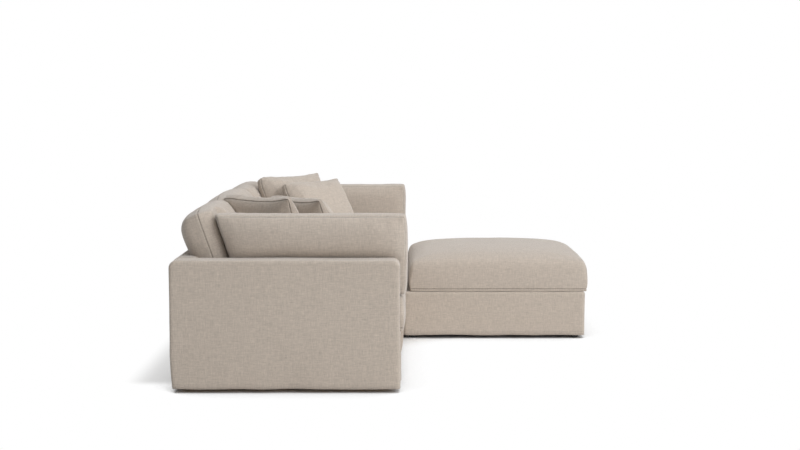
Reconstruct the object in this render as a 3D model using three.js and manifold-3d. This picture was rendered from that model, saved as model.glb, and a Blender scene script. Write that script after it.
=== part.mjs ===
// Sectional sofa with a chaise ottoman. Three slip-covered seat units stand between two low arm
// panels. Loose slab cushions line the arms and the back, four throw pillows fill the corners,
// and a square ottoman with its own cushion stands against the front as the chaise.
// Lengths are in millimetres. +X runs along the sofa, the front faces -Y and +Z is up. The origin
// is on the floor below the middle of the whole outline.

import * as THREE from "three";
import { mergeVertices } from "three/addons/utils/BufferGeometryUtils.js";
import Module from "manifold-3d";

const wasm = await Module();
wasm.setup();

// Sofa outline
const LENGTH = 2600;
const SOFA_DEPTH = 1030;
const PANEL_HEIGHT = 597;
const ARM_THICKNESS = 130;
const BACK_THICKNESS = 120;
const BASE_HEIGHT = 257;
const UNIT_NAMES = ["left", "middle", "right"];

// Slipcovers: a padded skin that hangs from the top to a hem just above the floor
const HEM_HEIGHT = 16;
const COVER_WALL = 12;
const MIDDLE_SKIRT_BULGE = 18;
const END_SKIRT_BULGE = 4;
const SKIRT_BULGE_HEIGHT = 140;
const HEM_DRAW_IN = 3;
const PANEL_RADIUS = 36;
const SEAT_EDGE_RADIUS = 14;
const BEND_FACETS = 4;

// Clearances
const FIT_GAP = 0.3;
const UNIT_GAP = 1;
const SOFT_GAP = 0.5;
const PRESSED_GAP = 0.7;
const OVERRUN = 5;

// Hardwood frames
const FRAME_BOTTOM = 45;
const RAIL_THICKNESS = 25;
const POST_WIDTH = 42;
const CAP_RAIL_HEIGHT = 40;
const SILL_RAIL_HEIGHT = 60;
const MIDDLE_RAIL_HEIGHT = 40;
const CORNER_BLOCK_SIZE = 90;
const CORNER_BLOCK_HEIGHT = 40;
const ARM_BAY_COUNT = 5;
const BACK_BAY_COUNT = 3;

// Sinuous seat springs, laid front to back over the rails and joined by cross ties
const WIRE_DIAMETER = 4;
const SPRING_COUNT = 4;
const SPRING_WIDTH = 44;
const SPRING_STEP = 50;
const TIE_COUNT = 2;
const MITRE_LIMIT_SHARE = 0.3;

// Glides, dust covers and connector brackets
const GLIDE_FOOT_RADIUS = 21;
const GLIDE_TOP_RADIUS = 26;
const GLIDE_INSET = 38;
const GLIDE_CHAMFER = 3;
const GLIDE_SIDES = 12;
const DUST_COVER_THICKNESS = 2;
const DUST_COVER_INSET = 10;
const DUST_COVER_CORNER = 95;
const BRACKET_THICKNESS = 3;
const BRACKET_WIDTH = 60;
const BRACKET_LIP = 32;
const BRACKET_ARM_REACH = 60;

// Seat and ottoman cushions
const SEAT_CUSHION_OVERHANG = 32;
const SEAT_EDGE_HEIGHT = 157;
const SEAT_CROWN = 70;
const SEAT_BULGE = 10;

// Back cushions
const BACK_CUSHION_HEIGHT = 428;
const BACK_CUSHION_EDGE = 120;
const BACK_CUSHION_CROWN = 48;
const BACK_CUSHION_BULGE = 10;
const BACK_CUSHION_FOOT = 125;
const BACK_CUSHION_LEAN = THREE.MathUtils.degToRad(19.3);

// Arm cushions
const ARM_CUSHION_HEIGHT = 380;
const ARM_CUSHION_EDGE = 130;
const ARM_CUSHION_CROWN = 36;
const ARM_CUSHION_BULGE = 10;
const ARM_CUSHION_OVERHANG = 34;
const ARM_CUSHION_INNER_FACE = 190;
const ARM_CUSHION_REAR_GAP = 62;
const ARM_CUSHION_CREASE = 6;

// Throw pillows: how far each middle is from the arm's inner face, from the back panel and above
// the seat cushion's edge, in shares of the pillow's size
const PILLOW_SIZE = 480;
const PILLOW_EDGE = 24;
const PILLOW_CROWN = 63;
const PILLOW_BULGE = 3;
const PILLOWS = [
  { name: "pillow_left_corner", side: -1, middleShares: [1.075, 0.6625, 0.4615], turn: 45, lean: 30 },
  { name: "pillow_left_front", side: -1, middleShares: [1.2875, 1.0125, 0.4615], turn: 42, lean: 32 },
  { name: "pillow_right_corner", side: 1, middleShares: [1.0792, 0.7, 0.4948], turn: 43, lean: 28 },
  { name: "pillow_right_front", side: 1, middleShares: [1.2958, 1.0417, 0.4698], turn: 38, lean: 32 },
];

// Ottoman
const OTTOMAN_SIZE = 994;
const OTTOMAN_GAP = 0.6;
const OTTOMAN_INSIDE_ARM = 15;
const OTTOMAN_CUSHION_OVERHANG = 28;
const OTTOMAN_CUSHION_CLEARANCE = 4;

// How the stuffed forms are drawn
const SEAT_CELLS = 12;
const SLAB_CELLS = 8;
const PILLOW_CELLS = 10;
const CORNER_DRAW_SHARE = 0.018;
const BACK_CORNER_DRAW_SHARE = 0.14;
const PILLOW_WAIST_SHARE = 0.055;
const CORNER_POWER = 8;
const BACK_CORNER_POWER = 3;
const BOX_CROWN_POWER = 3;
const PILLOW_CROWN_POWER = 2.6;
const BOX_EDGE_POWER = 0.5;
const PILLOW_EDGE_POWER = 0.6;

// Places worked out from the sizes above
const OTTOMAN_REACH = MIDDLE_SKIRT_BULGE + OTTOMAN_GAP + OTTOMAN_SIZE + OTTOMAN_CUSHION_OVERHANG;
const BACK_Y = (SOFA_DEPTH + OTTOMAN_REACH) / 2;
const ARM_FRONT_Y = BACK_Y - SOFA_DEPTH;
const PANEL_FRONT_Y = BACK_Y - BACK_THICKNESS;
const ARM_INNER_X = LENGTH / 2 - ARM_THICKNESS;
const ARM_CUSHION_LENGTH =
  SOFA_DEPTH - BACK_THICKNESS + ARM_CUSHION_OVERHANG - ARM_CUSHION_REAR_GAP;
const UNIT_PITCH = (2 * ARM_INNER_X) / UNIT_NAMES.length;
const UNIT_WIDTH = UNIT_PITCH - UNIT_GAP;
const DECK_UNDERSIDE = BASE_HEIGHT - COVER_WALL;
const FRAME_TOP = DECK_UNDERSIDE - WIRE_DIAMETER - 2 * FIT_GAP;
const CUSHION_SEAT = BASE_HEIGHT + SOFT_GAP;
const SEAT_EDGE_TOP = CUSHION_SEAT + SEAT_EDGE_HEIGHT;
const FRAME_INSET = COVER_WALL + FIT_GAP;
const SEAT_FRAME_BACK = PANEL_FRONT_Y + FRAME_INSET;
const OTTOMAN_X = ARM_INNER_X - OTTOMAN_INSIDE_ARM - OTTOMAN_SIZE / 2;
const OTTOMAN_BACK_Y = ARM_FRONT_Y - MIDDLE_SKIRT_BULGE - OTTOMAN_GAP;
const BRACKET_Y = (ARM_FRONT_Y + PANEL_FRONT_Y) / 2;

// Colours and finishes
const COVER_LOOK = { color: 0xb8ad9f, roughness: 0.95, metalness: 0 };
const PILLOW_LOOK = { color: 0xbcb2a5, roughness: 0.95, metalness: 0 };
const WOOD_LOOK = { color: 0xc09a6b, roughness: 0.7, metalness: 0 };
const STEEL_LOOK = { color: 0x9a9c9e, roughness: 0.4, metalness: 1 };
const GLIDE_LOOK = { color: 0x1c1c1c, roughness: 0.5, metalness: 0 };
const DUST_LOOK = { color: 0x26262a, roughness: 0.9, metalness: 0 };

const sofa = new THREE.Group();

// Solids and meshes

function solidOf(geometry) {
  const bare = geometry.clone();
  bare.deleteAttribute("normal");
  bare.deleteAttribute("uv");
  const merged = mergeVertices(bare);
  const vertProperties = merged.attributes.position.array;
  const triVerts = new Uint32Array(merged.index.array);
  return new wasm.Manifold(new wasm.Mesh({ numProp: 3, vertProperties, triVerts }));
}

function geometryOf(solid) {
  const mesh = solid.getMesh();
  const geometry = new THREE.BufferGeometry();
  geometry.setAttribute("position", new THREE.BufferAttribute(mesh.vertProperties, 3));
  geometry.setIndex(new THREE.BufferAttribute(mesh.triVerts, 1));
  geometry.computeVertexNormals();
  return geometry;
}

function joined(geometries) {
  return geometries.map(solidOf).reduce((whole, piece) => whole.add(piece));
}

function addMesh(parent, name, geometry, look) {
  const mesh = new THREE.Mesh(geometry, new THREE.MeshStandardMaterial(look));
  mesh.name = name;
  parent.add(mesh);
  return mesh;
}

function boxGeometry([x0, x1], [y0, y1], [z0, z1]) {
  const box = new THREE.BoxGeometry(x1 - x0, y1 - y0, z1 - z0);
  return box.translate((x0 + x1) / 2, (y0 + y1) / 2, (z0 + z1) / 2);
}

// Outline through the corners [across, up, radius], with a round bend where a radius is given
function roundedShape(corners) {
  const shape = new THREE.Shape();
  corners.forEach(([across, up, radius], i) => {
    const here = new THREE.Vector2(across, up);
    const [before, after] = [corners.at(i - 1), corners[(i + 1) % corners.length]];
    const towards = ([x, y]) => new THREE.Vector2(x, y).sub(here).setLength(radius || 0).add(here);
    const start = towards(before);
    if (i === 0) shape.moveTo(start.x, start.y);
    else shape.lineTo(start.x, start.y);
    if (!radius) return;
    const end = towards(after);
    shape.quadraticCurveTo(here.x, here.y, end.x, end.y);
  });
  shape.closePath();
  return shape;
}

// Extrudes an outline drawn in Y and Z along X, centred on x = 0
function prismAlongX(shape, width) {
  const flat = { depth: width, bevelEnabled: false, curveSegments: BEND_FACETS };
  const prism = new THREE.ExtrudeGeometry(shape, flat);
  const along = new THREE.Matrix4().makeBasis(
    new THREE.Vector3(0, 1, 0),
    new THREE.Vector3(0, 0, 1),
    new THREE.Vector3(1, 0, 0),
  );
  return prism.applyMatrix4(along).translate(-width / 2, 0, 0);
}

// Slipcovers

// Side outline of a seat unit's cover: skirt, deck and back panel in one
function unitCoverOutline(skirtBulge) {
  return roundedShape([
    [ARM_FRONT_Y - skirtBulge + HEM_DRAW_IN, HEM_HEIGHT],
    [BACK_Y, HEM_HEIGHT],
    [BACK_Y, PANEL_HEIGHT, PANEL_RADIUS],
    [PANEL_FRONT_Y, PANEL_HEIGHT, PANEL_RADIUS],
    [PANEL_FRONT_Y, BASE_HEIGHT],
    [ARM_FRONT_Y - skirtBulge, BASE_HEIGHT, SEAT_EDGE_RADIUS],
    [ARM_FRONT_Y - skirtBulge, SKIRT_BULGE_HEIGHT],
  ]);
}

// The hollow that the frame fills, open below the hem
function unitCoverHollow() {
  return roundedShape([
    [ARM_FRONT_Y + COVER_WALL, HEM_HEIGHT - OVERRUN],
    [BACK_Y - COVER_WALL, HEM_HEIGHT - OVERRUN],
    [BACK_Y - COVER_WALL, PANEL_HEIGHT - COVER_WALL],
    [PANEL_FRONT_Y + COVER_WALL, PANEL_HEIGHT - COVER_WALL],
    [PANEL_FRONT_Y + COVER_WALL, DECK_UNDERSIDE],
    [ARM_FRONT_Y + COVER_WALL, DECK_UNDERSIDE],
  ]);
}

// Notch in a hem where a connector bracket passes under it
function bracketNotch(x) {
  return boxGeometry(
    [x - COVER_WALL - OVERRUN, x + COVER_WALL + OVERRUN],
    [BRACKET_Y - BRACKET_WIDTH / 2 - OVERRUN, BRACKET_Y + BRACKET_WIDTH / 2 + OVERRUN],
    [HEM_HEIGHT - OVERRUN, FRAME_BOTTOM + FIT_GAP],
  );
}

function unitCover(skirtBulge) {
  const outer = solidOf(prismAlongX(unitCoverOutline(skirtBulge), UNIT_WIDTH));
  const hollow = solidOf(prismAlongX(unitCoverHollow(), UNIT_WIDTH - 2 * COVER_WALL));
  const shell = outer.subtract(hollow);
  const notches = [-1, 1].map((side) => solidOf(bracketNotch((side * UNIT_PITCH) / 2)));
  return geometryOf(notches.reduce((rest, notch) => rest.subtract(notch), shell));
}

function armCover(side) {
  const outline = roundedShape([
    [ARM_FRONT_Y, HEM_HEIGHT],
    [BACK_Y, HEM_HEIGHT],
    [BACK_Y, PANEL_HEIGHT, PANEL_RADIUS],
    [ARM_FRONT_Y, PANEL_HEIGHT, PANEL_RADIUS],
  ]);
  const inner = ARM_THICKNESS / 2 - COVER_WALL;
  const hollow = boxGeometry(
    [-inner, inner],
    [ARM_FRONT_Y + COVER_WALL, BACK_Y - COVER_WALL],
    [HEM_HEIGHT - OVERRUN, PANEL_HEIGHT - COVER_WALL],
  );
  const shell = solidOf(prismAlongX(outline, ARM_THICKNESS)).subtract(solidOf(hollow));
  return geometryOf(shell.subtract(solidOf(bracketNotch((-side * ARM_THICKNESS) / 2))));
}

function ottomanCover() {
  const half = OTTOMAN_SIZE / 2;
  const outline = roundedShape([
    [-half, HEM_HEIGHT],
    [half, HEM_HEIGHT],
    [half, BASE_HEIGHT, SEAT_EDGE_RADIUS],
    [-half, BASE_HEIGHT, SEAT_EDGE_RADIUS],
  ]);
  const inner = half - COVER_WALL;
  const hollow = boxGeometry([-inner, inner], [-inner, inner], [HEM_HEIGHT - OVERRUN, DECK_UNDERSIDE]);
  return geometryOf(solidOf(prismAlongX(outline, OTTOMAN_SIZE)).subtract(solidOf(hollow)));
}

// Hardwood frames

// Rails round the seat with corner blocks that take the glides. The side rails run on past the rear
// seat rail where the frame goes on under a back panel.
function baseRing(halfWidth, front, back, seatBack = back) {
  const level = [FRAME_BOTTOM, FRAME_TOP];
  const blockLevel = [FRAME_BOTTOM, FRAME_BOTTOM + CORNER_BLOCK_HEIGHT];
  const rails = [
    boxGeometry([-halfWidth, halfWidth], [front, front + RAIL_THICKNESS], level),
    boxGeometry([-halfWidth, halfWidth], [seatBack - RAIL_THICKNESS, seatBack], level),
    boxGeometry([-halfWidth, -halfWidth + RAIL_THICKNESS], [front, back], level),
    boxGeometry([halfWidth - RAIL_THICKNESS, halfWidth], [front, back], level),
  ];
  const blocks = [-1, 1].flatMap((side) =>
    [[front, 1], [back, -1]].map(([y, inwards]) =>
      cornerBlock(side * halfWidth, y, -side, inwards, blockLevel),
    ),
  );
  return joined([...rails, ...blocks]);
}

// Triangular block in the corner at x, y, pointing inwards
function cornerBlock(x, y, inwardX, inwardY, [low, high]) {
  const shape = new THREE.Shape();
  shape.moveTo(x, y);
  shape.lineTo(x + inwardX * CORNER_BLOCK_SIZE, y);
  shape.lineTo(x, y + inwardY * CORNER_BLOCK_SIZE);
  shape.closePath();
  const block = new THREE.ExtrudeGeometry(shape, { depth: high - low, bevelEnabled: false });
  return block.translate(0, 0, low);
}

// Posts and rails of a panel, as boxes. The posts stand evenly between low and high.
function ladder(low, high, bottom, bayCount, boxAt) {
  const top = PANEL_HEIGHT - FRAME_INSET;
  const bayHeight = (top - bottom - SILL_RAIL_HEIGHT - MIDDLE_RAIL_HEIGHT - CAP_RAIL_HEIGHT) / 2;
  const middle = bottom + SILL_RAIL_HEIGHT + bayHeight;
  const rails = [
    [bottom, bottom + SILL_RAIL_HEIGHT],
    [middle, middle + MIDDLE_RAIL_HEIGHT],
    [top - CAP_RAIL_HEIGHT, top],
  ].map((level) => boxAt([low, high], level));
  const pitch = (high - low - POST_WIDTH) / bayCount;
  const posts = Array.from({ length: bayCount + 1 }, (_, i) =>
    boxAt([low + i * pitch, low + i * pitch + POST_WIDTH], [bottom, top]),
  );
  return joined([...rails, ...posts]);
}

function unitFrame() {
  const halfWidth = UNIT_WIDTH / 2 - FRAME_INSET;
  const back = BACK_Y - FRAME_INSET;
  const depth = [SEAT_FRAME_BACK, back];
  const ring = baseRing(halfWidth, ARM_FRONT_Y + FRAME_INSET, back, SEAT_FRAME_BACK);
  const boxAt = (across, level) => boxGeometry(across, depth, level);
  return geometryOf(ring.add(ladder(-halfWidth, halfWidth, FRAME_BOTTOM, BACK_BAY_COUNT, boxAt)));
}

function armFrame() {
  const half = ARM_THICKNESS / 2 - FRAME_INSET;
  const [front, back] = [ARM_FRONT_Y + FRAME_INSET, BACK_Y - FRAME_INSET];
  const boxAt = (along, level) => boxGeometry([-half, half], along, level);
  return geometryOf(ladder(front, back, FRAME_BOTTOM, ARM_BAY_COUNT, boxAt));
}

// Seat springs

// Corners of a zigzag wire in which every straight stretch is one step long
function zigzagCorners(x, start, end) {
  const slant = Math.sqrt(SPRING_STEP ** 2 - SPRING_WIDTH ** 2);
  const pairs = Math.floor((end - start) / (2 * (SPRING_STEP + slant)));
  const lead = (end - start - 2 * pairs * (SPRING_STEP + slant)) / 2;
  const corners = [new THREE.Vector2(x - SPRING_WIDTH / 2, start)];
  for (let i = 0; i < 2 * pairs; i++) {
    const side = i % 2 ? 1 : -1;
    const y = start + lead + i * (SPRING_STEP + slant) + slant / 2;
    corners.push(new THREE.Vector2(x + (side * SPRING_WIDTH) / 2, y));
    corners.push(new THREE.Vector2(x + (side * SPRING_WIDTH) / 2, y + SPRING_STEP));
  }
  return [...corners, new THREE.Vector2(x + SPRING_WIDTH / 2, end)];
}

// Mitred wire with a square section along a path in plan
function wireGeometry(corners, z) {
  const half = WIRE_DIAMETER / 2;
  const offsets = corners.map((corner, i) => {
    const before = corners[Math.max(i - 1, 0)];
    const after = corners[Math.min(i + 1, corners.length - 1)];
    const into = corner.clone().sub(before).normalize();
    const out = after.clone().sub(corner).normalize();
    const way = into.add(out).normalize();
    const first = i ? before : corner;
    const second = i ? corner : after;
    const edge = second.clone().sub(first).normalize();
    const stretch = half / Math.max(way.dot(edge), MITRE_LIMIT_SHARE);
    return new THREE.Vector2(-way.y * stretch, way.x * stretch);
  });
  const outline = [
    ...corners.map((corner, i) => corner.clone().add(offsets[i])),
    ...corners.map((corner, i) => corner.clone().sub(offsets[i])).reverse(),
  ];
  const flat = { depth: WIRE_DIAMETER, bevelEnabled: false };
  const wire = new THREE.ExtrudeGeometry(new THREE.Shape(outline), flat);
  return wire.translate(0, 0, z);
}

function springSet(halfWidth, front, back) {
  const z = FRAME_TOP + FIT_GAP;
  const spacing = (2 * halfWidth) / SPRING_COUNT;
  const start = front + RAIL_THICKNESS / 2;
  const end = back - RAIL_THICKNESS / 2;
  const wires = [];
  for (let i = 0; i < SPRING_COUNT; i++) {
    const x = -halfWidth + (i + 1 / 2) * spacing;
    wires.push(wireGeometry(zigzagCorners(x, start, end), z));
  }
  for (let i = 1; i <= TIE_COUNT; i++) {
    const y = start + ((end - start) * i) / (TIE_COUNT + 1);
    const reach = halfWidth - spacing / 2 + SPRING_WIDTH / 2 + WIRE_DIAMETER / 2;
    const across = [y - WIRE_DIAMETER / 2, y + WIRE_DIAMETER / 2];
    wires.push(boxGeometry([-reach, reach], across, [z, z + WIRE_DIAMETER]));
  }
  return geometryOf(joined(wires));
}

// Underside pieces

function glide() {
  const height = FRAME_BOTTOM - FIT_GAP;
  const profile = [
    new THREE.Vector2(0, 0),
    new THREE.Vector2(GLIDE_FOOT_RADIUS - GLIDE_CHAMFER, 0),
    new THREE.Vector2(GLIDE_FOOT_RADIUS, GLIDE_CHAMFER),
    new THREE.Vector2(GLIDE_TOP_RADIUS, height),
    new THREE.Vector2(0, height),
  ];
  return new THREE.LatheGeometry(profile, GLIDE_SIDES).rotateX(Math.PI / 2);
}

function addGlides(parent, name, halfWidth, front, back) {
  for (const [row, y] of [["front", front + GLIDE_INSET], ["back", back - GLIDE_INSET]]) {
    for (const [hand, side] of [["left", -1], ["right", 1]]) {
      const mesh = addMesh(parent, `${name}_glide_${row}_${hand}`, glide(), GLIDE_LOOK);
      mesh.position.set(side * (halfWidth - GLIDE_INSET), y, 0);
    }
  }
}

// Cloth under the frame, folded in at the corners beside the glides
function dustCover(halfWidth, front, back, notched) {
  const [x, low, high] = [halfWidth - DUST_COVER_INSET, front + DUST_COVER_INSET, back - DUST_COVER_INSET];
  const fold = DUST_COVER_CORNER;
  const shape = roundedShape([
    [-x + fold, low],
    [x - fold, low],
    [x, low + fold],
    [x, high - fold],
    [x - fold, high],
    [-x + fold, high],
    [-x, high - fold],
    [-x, low + fold],
  ]);
  const cloth = new THREE.ExtrudeGeometry(shape, { depth: DUST_COVER_THICKNESS, bevelEnabled: false });
  cloth.translate(0, 0, FRAME_BOTTOM - FIT_GAP - DUST_COVER_THICKNESS);
  if (!notched) return cloth;
  const reach = RAIL_THICKNESS + BRACKET_THICKNESS + FRAME_INSET + OVERRUN;
  const slots = [-1, 1].map((side) =>
    solidOf(
      boxGeometry(
        [(side * UNIT_PITCH) / 2 - reach, (side * UNIT_PITCH) / 2 + reach],
        [BRACKET_Y - BRACKET_WIDTH / 2 - OVERRUN, BRACKET_Y + BRACKET_WIDTH / 2 + OVERRUN],
        [HEM_HEIGHT, FRAME_BOTTOM],
      ),
    ),
  );
  return geometryOf(slots.reduce((rest, slot) => rest.subtract(slot), solidOf(cloth)));
}

// Steel strip under two neighbouring frames, with a lip turned up behind each unit's side rail
function connectorBracket(lips) {
  const top = FRAME_BOTTOM - FIT_GAP;
  const lipX = UNIT_GAP / 2 + FRAME_INSET + RAIL_THICKNESS + FIT_GAP;
  const width = [BRACKET_Y - BRACKET_WIDTH / 2, BRACKET_Y + BRACKET_WIDTH / 2];
  const ends = [-1, 1].map((side) => (lips.includes(side) ? lipX + BRACKET_THICKNESS : BRACKET_ARM_REACH));
  const strip = boxGeometry([-ends[0], ends[1]], width, [top - BRACKET_THICKNESS, top]);
  const turned = lips.map((side) => {
    const [near, far] = [side * lipX, side * (lipX + BRACKET_THICKNESS)];
    const level = [top - BRACKET_THICKNESS, FRAME_BOTTOM + BRACKET_LIP];
    return boxGeometry([Math.min(near, far), Math.max(near, far)], width, level);
  });
  return geometryOf(joined([strip, ...turned]));
}

// Stuffed forms

// Rise of a crown at a place between two borders, from 0 at each border to 1 midway
function rise(place, [low, high], power, edgePower) {
  const from = Math.abs((2 * place - low - high) / (high - low));
  return from >= 1 ? 0 : (1 - from ** power) ** edgePower;
}

// A stuffed form lying flat: two crowned faces round a boxed edge whose middle bulges. The crown of
// the upper face fills crownX by crownY. The grid of each face is finer towards the edges.
function stuffedGeometry(form) {
  const { width, depth, edge, bulge, crownTop, crownUnder, cells } = form;
  const { waistShare = 0, crownPower = BOX_CROWN_POWER, edgePower = BOX_EDGE_POWER } = form;
  const { cornerShare = CORNER_DRAW_SHARE, cornerPower = CORNER_POWER } = form;
  const [halfWidth, halfDepth] = [width / 2 - bulge, depth / 2 - bulge];
  const { crownX = [-halfWidth, halfWidth], crownY = [-halfDepth, halfDepth] } = form;
  const points = [];
  const triangles = [];

  // How far an edge is drawn in at a place along it: at its waist and towards its corners
  function drawn(along, share, power) {
    return 1 - waistShare * (1 - along ** 2) - share * Math.abs(along) ** power;
  }

  function outlinePoint(i, j) {
    const [u, v] = [i, j].map((step) => Math.sin((Math.PI / 2) * ((2 * step) / cells - 1)));
    const [x, y] = [halfWidth * u, halfDepth * v];
    return [x * drawn(v, CORNER_DRAW_SHARE, CORNER_POWER), y * drawn(u, cornerShare, cornerPower), x, y];
  }

  function addFace(sign, crown, fieldX, fieldY) {
    const first = points.length;
    for (let i = 0; i <= cells; i++) {
      for (let j = 0; j <= cells; j++) {
        const [x, y, fieldPlaceX, fieldPlaceY] = outlinePoint(i, j);
        const high =
          rise(fieldPlaceX, fieldX, crownPower, edgePower) * rise(fieldPlaceY, fieldY, crownPower, edgePower);
        points.push([x, y, sign * (edge / 2 + crown * high)]);
      }
    }
    const at = (i, j) => first + i * (cells + 1) + j;
    for (let i = 0; i < cells; i++) {
      for (let j = 0; j < cells; j++) {
        const [a, b, c, d] = [at(i, j), at(i + 1, j), at(i + 1, j + 1), at(i, j + 1)];
        if (sign > 0) triangles.push([a, b, c], [a, c, d]);
        else triangles.push([a, c, b], [a, d, c]);
      }
    }
    return rim().map(([i, j]) => at(i, j));
  }

  // Places round the rim, anticlockwise from above
  function rim() {
    const steps = Array.from({ length: cells }, (_, step) => step);
    return [
      ...steps.map((step) => [step, 0]),
      ...steps.map((step) => [cells, step]),
      ...steps.map((step) => [cells - step, cells]),
      ...steps.map((step) => [0, cells - step]),
    ];
  }

  const upper = addFace(1, crownTop, crownX, crownY);
  let lower;
  if (crownUnder) {
    lower = addFace(-1, crownUnder, [-halfWidth, halfWidth], [-halfDepth, halfDepth]);
  } else {
    lower = rim().map(([i, j]) => {
      const [x, y] = outlinePoint(i, j);
      return points.push([x, y, -edge / 2]) - 1;
    });
    const middle = points.push([0, 0, -edge / 2]) - 1;
    lower.forEach((here, k) => triangles.push([middle, lower[(k + 1) % lower.length], here]));
  }
  const belt = rim().map(([i, j]) => {
    const [x, y] = outlinePoint(i, j);
    const outX = i === 0 ? -bulge : i === cells ? bulge : 0;
    const outY = j === 0 ? -bulge : j === cells ? bulge : 0;
    return points.push([x + outX, y + outY, 0]) - 1;
  });
  belt.forEach((here, k) => {
    const next = (k + 1) % belt.length;
    triangles.push([here, belt[next], upper[next]], [here, upper[next], upper[k]]);
    triangles.push([lower[k], lower[next], belt[next]], [lower[k], belt[next], here]);
  });

  const geometry = new THREE.BufferGeometry();
  geometry.setAttribute("position", new THREE.Float32BufferAttribute(points.flat(), 3));
  geometry.setIndex(triangles.flat());
  geometry.computeVertexNormals();
  return geometry;
}

// Stands a flat form up at a place, leaning back from the vertical and turned about the upright axis
function stoodUp(geometry, [x, y, z], lean, turn) {
  const place = new THREE.Object3D();
  place.rotation.set(Math.PI / 2 - lean, 0, turn, "ZXY");
  place.position.set(x, y, z);
  place.updateMatrix();
  return geometry.applyMatrix4(place.matrix);
}

// The same form grown by a clearance all round, to cut what presses against it
function grown(geometry, clearance) {
  const larger = geometry.clone();
  const place = larger.getAttribute("position");
  const normal = larger.getAttribute("normal");
  for (let i = 0; i < place.count; i++) {
    const outwards = new THREE.Vector3().fromBufferAttribute(normal, i).multiplyScalar(clearance);
    const moved = new THREE.Vector3().fromBufferAttribute(place, i).add(outwards);
    place.setXYZ(i, moved.x, moved.y, moved.z);
  }
  return larger;
}

// The room that an arm or back panel takes up, without its hollow
function panelBlock(front, width, x) {
  const outline = roundedShape([
    [front, HEM_HEIGHT],
    [BACK_Y, HEM_HEIGHT],
    [BACK_Y, PANEL_HEIGHT, PANEL_RADIUS],
    [front, PANEL_HEIGHT, PANEL_RADIUS],
  ]);
  return geometryOf(solidOf(prismAlongX(outline, width).translate(x, 0, 0)));
}

// The room under the leaning foot of the back cushions, which an arm cushion leaves free so that
// it comes off past them
function footRoom() {
  const half = BACK_CUSHION_EDGE / 2;
  const front = PANEL_FRONT_Y - BACK_CUSHION_FOOT - half * Math.cos(BACK_CUSHION_LEAN);
  const drawnUp = (BACK_CORNER_DRAW_SHARE * BACK_CUSHION_HEIGHT) / 2 + BACK_CUSHION_BULGE;
  const lift = half * Math.sin(BACK_CUSHION_LEAN) + drawnUp * Math.cos(BACK_CUSHION_LEAN);
  const heights = [CUSHION_SEAT, SEAT_EDGE_TOP + lift];
  const room = boxGeometry([-ARM_INNER_X, ARM_INNER_X], [front, BACK_Y], heights);
  return geometryOf(solidOf(room));
}

// What is left of a soft form where its neighbours press into it
function pressed(geometry, neighbours) {
  const left = neighbours.reduce(
    (rest, neighbour) => rest.subtract(solidOf(grown(neighbour, PRESSED_GAP))),
    solidOf(geometry),
  );
  const pieces = left.decompose().sort((a, b) => b.volume() - a.volume());
  return geometryOf(pieces[0]);
}

function seatCushion(unit) {
  const side = unit - 1;
  const front = ARM_FRONT_Y - SEAT_CUSHION_OVERHANG;
  const back = PANEL_FRONT_Y - SOFT_GAP;
  const width = UNIT_PITCH - 2 * SOFT_GAP;
  const free = width / 2 - SEAT_BULGE;
  const covered = width / 2 - ARM_CUSHION_INNER_FACE;
  const thickness = BACK_CUSHION_EDGE + 2 * BACK_CUSHION_CROWN;
  const backCushionFront = PANEL_FRONT_Y - BACK_CUSHION_FOOT - thickness / 2;
  const middleY = (front + back) / 2;
  const geometry = stuffedGeometry({
    width,
    depth: back - front,
    edge: SEAT_EDGE_HEIGHT,
    bulge: SEAT_BULGE,
    crownTop: SEAT_CROWN,
    crownUnder: 0,
    cells: SEAT_CELLS,
    crownX: [side < 0 ? -covered : -free, side > 0 ? covered : free],
    crownY: [front + SEAT_BULGE - middleY, backCushionFront - middleY],
  });
  return geometry.translate(side * UNIT_PITCH, middleY, CUSHION_SEAT + SEAT_EDGE_HEIGHT / 2);
}

function backCushion(unit) {
  const half = BACK_CUSHION_HEIGHT / 2;
  const geometry = stuffedGeometry({
    width: UNIT_PITCH - 2 * SOFT_GAP,
    depth: BACK_CUSHION_HEIGHT,
    edge: BACK_CUSHION_EDGE,
    bulge: BACK_CUSHION_BULGE,
    crownTop: BACK_CUSHION_CROWN,
    crownUnder: BACK_CUSHION_CROWN,
    cells: SLAB_CELLS,
    cornerShare: BACK_CORNER_DRAW_SHARE,
    cornerPower: BACK_CORNER_POWER,
  });
  const y = PANEL_FRONT_Y - BACK_CUSHION_FOOT + half * Math.sin(BACK_CUSHION_LEAN);
  const z = SEAT_EDGE_TOP + half * Math.cos(BACK_CUSHION_LEAN);
  return stoodUp(geometry, [(unit - 1) * UNIT_PITCH, y, z], BACK_CUSHION_LEAN, 0);
}

function armCushion(side) {
  const geometry = stuffedGeometry({
    width: ARM_CUSHION_LENGTH,
    depth: ARM_CUSHION_HEIGHT,
    edge: ARM_CUSHION_EDGE,
    bulge: ARM_CUSHION_BULGE,
    crownTop: ARM_CUSHION_CROWN,
    crownUnder: ARM_CUSHION_CROWN,
    cells: SLAB_CELLS,
  });
  const half = ARM_CUSHION_EDGE / 2 + ARM_CUSHION_CROWN;
  const x = ARM_INNER_X - ARM_CUSHION_INNER_FACE + half;
  const y = ARM_FRONT_Y - ARM_CUSHION_OVERHANG + ARM_CUSHION_LENGTH / 2;
  const z = SEAT_EDGE_TOP + SOFT_GAP + ARM_CUSHION_HEIGHT / 2;
  return stoodUp(geometry, [side * x, y, z], 0, (side * Math.PI) / 2);
}

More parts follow.
